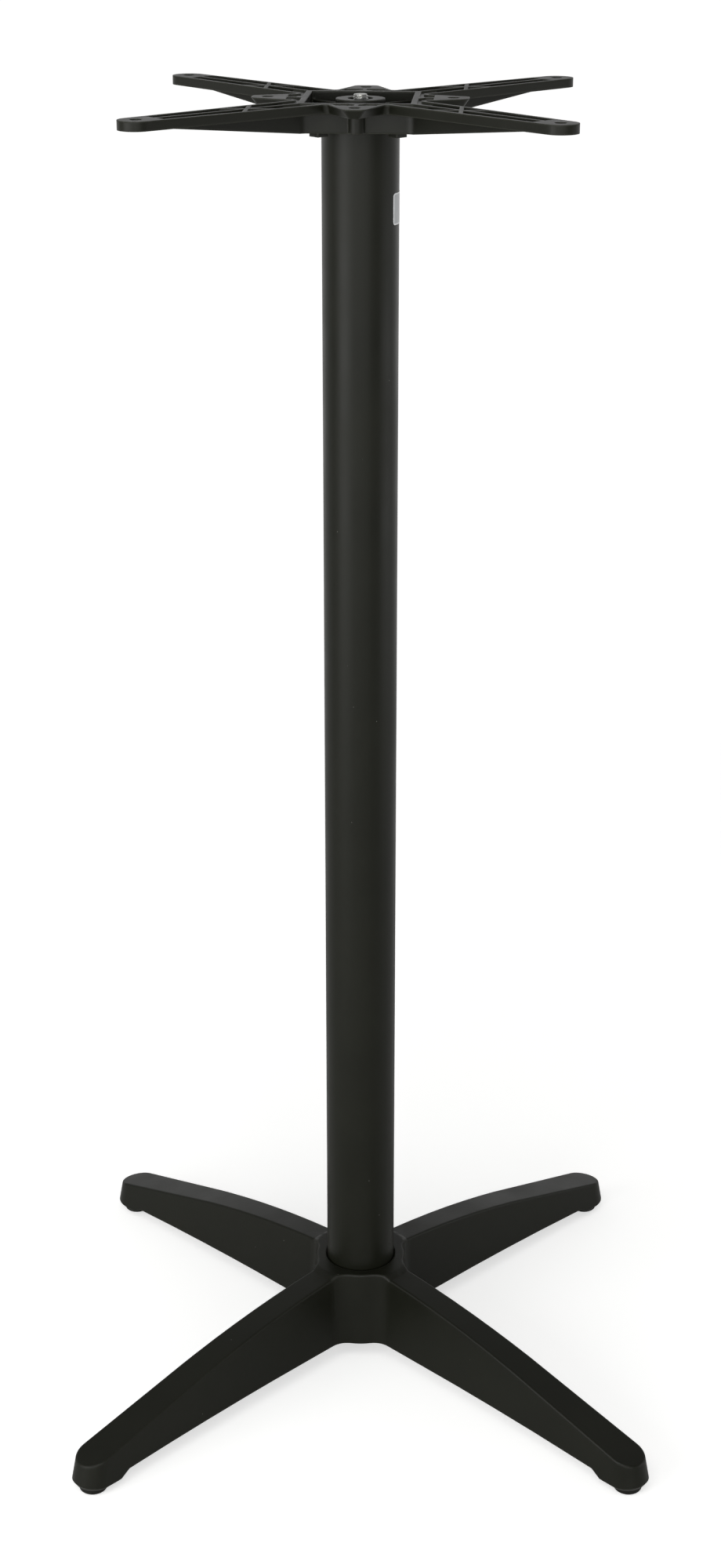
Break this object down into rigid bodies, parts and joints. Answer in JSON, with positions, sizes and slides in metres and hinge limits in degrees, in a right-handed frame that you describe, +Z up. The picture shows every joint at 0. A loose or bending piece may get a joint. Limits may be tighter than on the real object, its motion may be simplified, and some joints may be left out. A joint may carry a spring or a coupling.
{
  "type": "bar table base",
  "caption": "Bar-height table base with a splayed cast foot on levelling pads, a slim round column and a ribbed cast spider that screws to a table top.",
  "frame": {"origin": "on the floor under the column's axis, at the middle of the four pads", "axes": "+Z up along the column; the legs lie on the diagonals of X and Y, and -Y faces the viewer of the picture"},
  "size_m": [0.4826, 0.4826, 1.1084],
  "materials": {
    "powder_coated_casting": "black powder coat with a slight grain over cast aluminium, satin",
    "powder_coated_tube": "black powder coat over smooth tube, satin",
    "zinc_plated_steel": "bright zinc plate",
    "black_pad_plastic": "moulded black plastic, matte"
  },
  "bodies": {
    "base": {"foot_base": "powder_coated_casting", "column_tube": "powder_coated_tube", "top_spider": "powder_coated_casting", "tie_rod": "zinc_plated_steel", "clamp_washer": "zinc_plated_steel", "clamp_nut": "zinc_plated_steel"},
    "foot_rear_right": {"foot_pad_rear_right": "black_pad_plastic", "foot_stud_rear_right": "zinc_plated_steel"},
    "foot_rear_left": {"foot_pad_rear_left": "black_pad_plastic", "foot_stud_rear_left": "zinc_plated_steel"},
    "foot_front_left": {"foot_pad_front_left": "black_pad_plastic", "foot_stud_front_left": "zinc_plated_steel"},
    "foot_front_right": {"foot_pad_front_right": "black_pad_plastic", "foot_stud_front_right": "zinc_plated_steel"}
  },
  "joints": [
    {"name": "level_rear_right", "type": "slide", "parent": "base", "child": "foot_rear_right", "axis": [0, 0, -1], "range_m": [0, 0.01]},
    {"name": "level_rear_left", "type": "slide", "parent": "base", "child": "foot_rear_left", "axis": [0, 0, -1], "range_m": [0, 0.01]},
    {"name": "level_front_left", "type": "slide", "parent": "base", "child": "foot_front_left", "axis": [0, 0, -1], "range_m": [0, 0.01]},
    {"name": "level_front_right", "type": "slide", "parent": "base", "child": "foot_front_right", "axis": [0, 0, -1], "range_m": [0, 0.01]}
  ]
}
